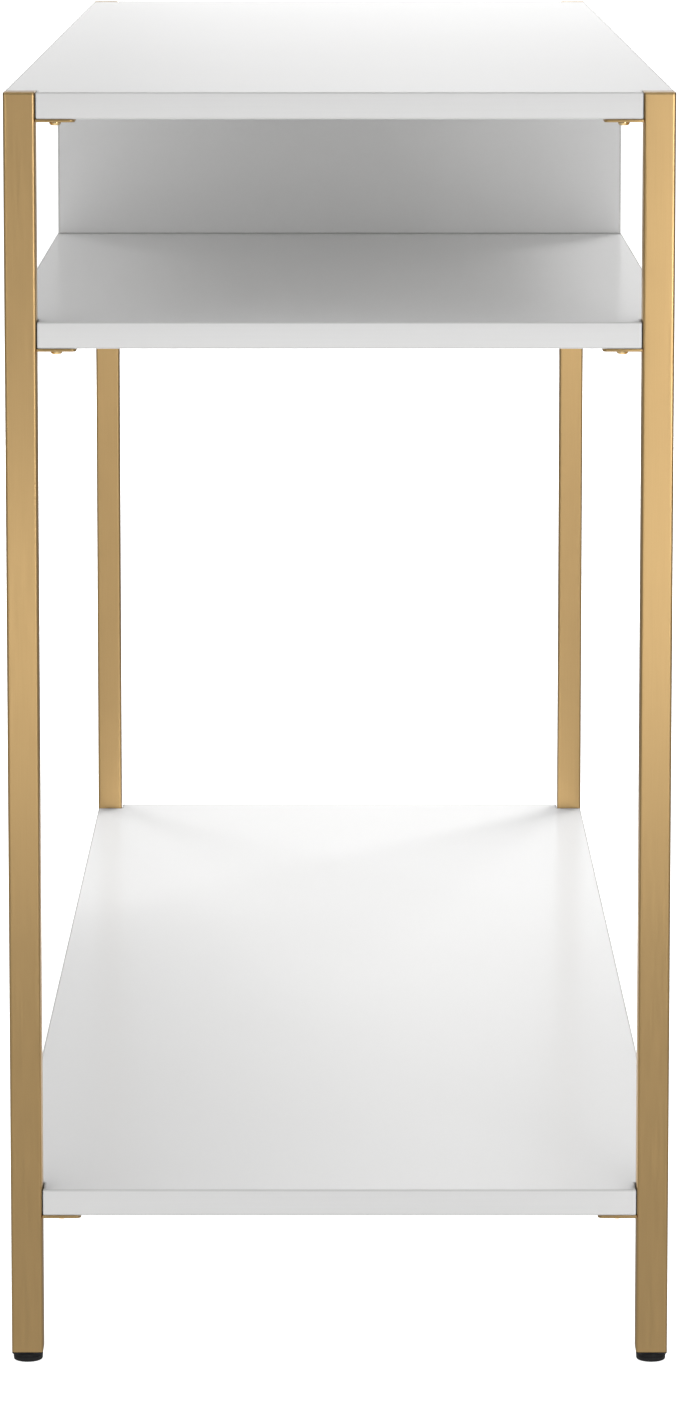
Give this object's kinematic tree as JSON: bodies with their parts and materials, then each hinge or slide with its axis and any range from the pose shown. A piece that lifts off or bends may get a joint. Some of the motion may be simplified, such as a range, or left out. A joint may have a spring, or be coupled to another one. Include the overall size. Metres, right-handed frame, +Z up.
{
  "type": "console table",
  "caption": "Narrow console table: white boards at three heights with a centre divider, notched into gold square-tube legs on screw-in levelling glides.",
  "frame": {"origin": "on the floor under the centre of the top board (centre of the bounding box's bottom face)", "axes": "+X along the table's length, +Y across its depth from the front to the back, +Z up"},
  "size_m": [1.3, 0.4, 0.775],
  "materials": {
    "white_board": "white melamine-faced particle board, satin",
    "gold_paint": "satin gold coating on steel tube and plate",
    "brass_plate": "bright brass-plated screws",
    "black_plastic": "moulded, semi-matte",
    "zinc_plate": "zinc-plated steel",
    "beech": "plain turned beech"
  },
  "bodies": {
    "root": {"centre_divider": "white_board", "divider_dowel_back": "beech", "divider_dowel_front": "beech", "divider_dowel_middle": "beech", "divider_screw_back": "zinc_plate", "divider_screw_front": "zinc_plate", "divider_screw_middle": "zinc_plate", "foot_insert_back_left": "black_plastic", "foot_insert_back_right": "black_plastic", "foot_insert_front_left": "black_plastic", "foot_insert_front_right": "black_plastic", "leg_back_left": "gold_paint", "leg_back_right": "gold_paint", "leg_cap_back_left": "gold_paint", "leg_cap_back_right": "gold_paint", "leg_cap_front_left": "gold_paint", "leg_cap_front_right": "gold_paint", "leg_front_left": "gold_paint", "leg_front_right": "gold_paint", "lower_shelf": "white_board", "middle_shelf": "white_board", "tab_lower_back_left": "gold_paint", "tab_lower_back_right": "gold_paint", "tab_lower_front_left": "gold_paint", "tab_lower_front_right": "gold_paint", "tab_middle_back_left": "gold_paint", "tab_middle_back_right": "gold_paint", "tab_middle_front_left": "gold_paint", "tab_middle_front_right": "gold_paint", "tab_screw_lower_back_left": "brass_plate", "tab_screw_lower_back_right": "brass_plate", "tab_screw_lower_front_left": "brass_plate", "tab_screw_lower_front_right": "brass_plate", "tab_screw_middle_back_left": "brass_plate", "tab_screw_middle_back_right": "brass_plate", "tab_screw_middle_front_left": "brass_plate", "tab_screw_middle_front_right": "brass_plate", "tab_screw_top_back_left": "brass_plate", "tab_screw_top_back_right": "brass_plate", "tab_screw_top_front_left": "brass_plate", "tab_screw_top_front_right": "brass_plate", "tab_top_back_left": "gold_paint", "tab_top_back_right": "gold_paint", "tab_top_front_left": "gold_paint", "tab_top_front_right": "gold_paint", "top_board": "white_board"},
    "stud_front_left": {"glide_stud_front_left": "zinc_plate"},
    "pad_front_left": {"glide_pad_front_left": "black_plastic"},
    "stud_front_right": {"glide_stud_front_right": "zinc_plate"},
    "pad_front_right": {"glide_pad_front_right": "black_plastic"},
    "stud_back_left": {"glide_stud_back_left": "zinc_plate"},
    "pad_back_left": {"glide_pad_back_left": "black_plastic"},
    "stud_back_right": {"glide_stud_back_right": "zinc_plate"},
    "pad_back_right": {"glide_pad_back_right": "black_plastic"}
  },
  "joints": [
    {"name": "glide_travel_front_left", "type": "slide", "parent": "root", "child": "stud_front_left", "axis": [0, 0, -1], "range_m": [0, 0.008]},
    {"name": "glide_turn_front_left", "type": "hinge", "parent": "stud_front_left", "child": "pad_front_left", "pos_m": [-0.6405, -0.1905, 0.003], "axis": [0, 0, -1], "range_deg": [0, 2880]},
    {"name": "glide_travel_front_right", "type": "slide", "parent": "root", "child": "stud_front_right", "axis": [0, 0, -1], "range_m": [0, 0.008]},
    {"name": "glide_turn_front_right", "type": "hinge", "parent": "stud_front_right", "child": "pad_front_right", "pos_m": [0.6405, -0.1905, 0.003], "axis": [0, 0, -1], "range_deg": [0, 2880]},
    {"name": "glide_travel_back_left", "type": "slide", "parent": "root", "child": "stud_back_left", "axis": [0, 0, -1], "range_m": [0, 0.008]},
    {"name": "glide_turn_back_left", "type": "hinge", "parent": "stud_back_left", "child": "pad_back_left", "pos_m": [-0.6405, 0.1905, 0.003], "axis": [0, 0, -1], "range_deg": [0, 2880]},
    {"name": "glide_travel_back_right", "type": "slide", "parent": "root", "child": "stud_back_right", "axis": [0, 0, -1], "range_m": [0, 0.008]},
    {"name": "glide_turn_back_right", "type": "hinge", "parent": "stud_back_right", "child": "pad_back_right", "pos_m": [0.6405, 0.1905, 0.003], "axis": [0, 0, -1], "range_deg": [0, 2880]}
  ],
  "couplings": [
    {"joint": "glide_turn_front_left", "follows": "glide_travel_front_left", "rad_per_m": 6283.2},
    {"joint": "glide_turn_front_right", "follows": "glide_travel_front_right", "rad_per_m": 6283.2},
    {"joint": "glide_turn_back_left", "follows": "glide_travel_back_left", "rad_per_m": 6283.2},
    {"joint": "glide_turn_back_right", "follows": "glide_travel_back_right", "rad_per_m": 6283.2}
  ]
}
